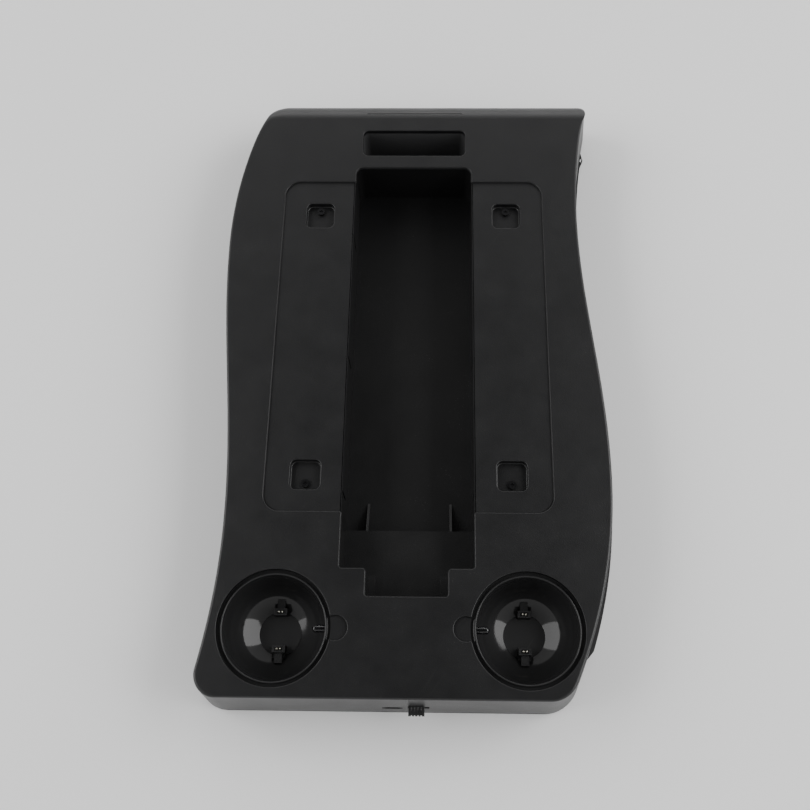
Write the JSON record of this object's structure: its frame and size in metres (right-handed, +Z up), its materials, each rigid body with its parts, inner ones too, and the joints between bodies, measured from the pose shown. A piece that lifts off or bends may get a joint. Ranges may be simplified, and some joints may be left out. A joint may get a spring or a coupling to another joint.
{
  "type": "virtual reality headset stand base",
  "caption": "Low black base of a headset charging stand with a long well, a post socket, charging bowls with sprung contacts, a port and a slide switch.",
  "frame": {"origin": "centre of the outer box's footprint, on the table plane under the rubber feet", "axes": "+X to the right, +Y from the front wall with the port and the switch to the rolled back edge, +Z up"},
  "size_m": [0.1988, 0.3228, 0.036],
  "materials": {
    "shell": "fine moulded grain",
    "plate": "fine moulded grain",
    "liner": "fine moulded grain",
    "bowl": "polished",
    "disc": "matt",
    "carrier": "matt",
    "contact": "bright plated",
    "spring": "drawn wire",
    "board": "lacquered",
    "lamp": "clear",
    "leads": "tinned",
    "port": "drawn shell",
    "switch": "pressed case",
    "knob": "fine moulded grain",
    "screws": "dull plated",
    "feet": "matt",
    "wires": "insulation"
  },
  "bodies": {
    "base": {"top_shell": "shell", "bottom_plate": "plate", "well_liner": "liner", "post_socket": "liner", "left_bowl": "bowl", "right_bowl": "bowl", "left_disc": "disc", "right_disc": "disc", "left_carriers": "carrier", "right_carriers": "carrier", "left_back_spring": "spring", "left_front_spring": "spring", "right_back_spring": "spring", "right_front_spring": "spring", "left_contact_board": "board", "right_contact_board": "board", "left_lamp": "lamp", "right_lamp": "lamp", "lamp_leads": "leads", "main_board": "board", "usb_socket": "port", "switch_body": "switch", "pad_screws": "screws", "base_screws": "screws", "board_screws": "screws", "inner_screws": "screws", "feet": "feet", "left_wires": "wires", "right_wires": "wires"},
    "knob": {"switch_knob": "knob"},
    "left_back_pin": {"left_back_contact": "contact"},
    "left_front_pin": {"left_front_contact": "contact"},
    "right_back_pin": {"right_back_contact": "contact"},
    "right_front_pin": {"right_front_contact": "contact"}
  },
  "joints": [
    {"name": "switch_slide", "type": "slide", "parent": "base", "child": "knob", "axis": [1, 0, 0], "range_m": [0, 0.002]},
    {"name": "left_back_press", "type": "slide", "parent": "base", "child": "left_back_pin", "axis": [0, 0, 1], "range_m": [-0.001, 0], "stiffness_N_per_m": 300, "springref_m": 0.001, "deforming": ["left_back_spring"]},
    {"name": "left_front_press", "type": "slide", "parent": "base", "child": "left_front_pin", "axis": [0, 0, 1], "range_m": [-0.001, 0], "stiffness_N_per_m": 300, "springref_m": 0.001, "deforming": ["left_front_spring"]},
    {"name": "right_back_press", "type": "slide", "parent": "base", "child": "right_back_pin", "axis": [0, 0, 1], "range_m": [-0.001, 0], "stiffness_N_per_m": 300, "springref_m": 0.001, "deforming": ["right_back_spring"]},
    {"name": "right_front_press", "type": "slide", "parent": "base", "child": "right_front_pin", "axis": [0, 0, 1], "range_m": [-0.001, 0], "stiffness_N_per_m": 300, "springref_m": 0.001, "deforming": ["right_front_spring"]}
  ]
}
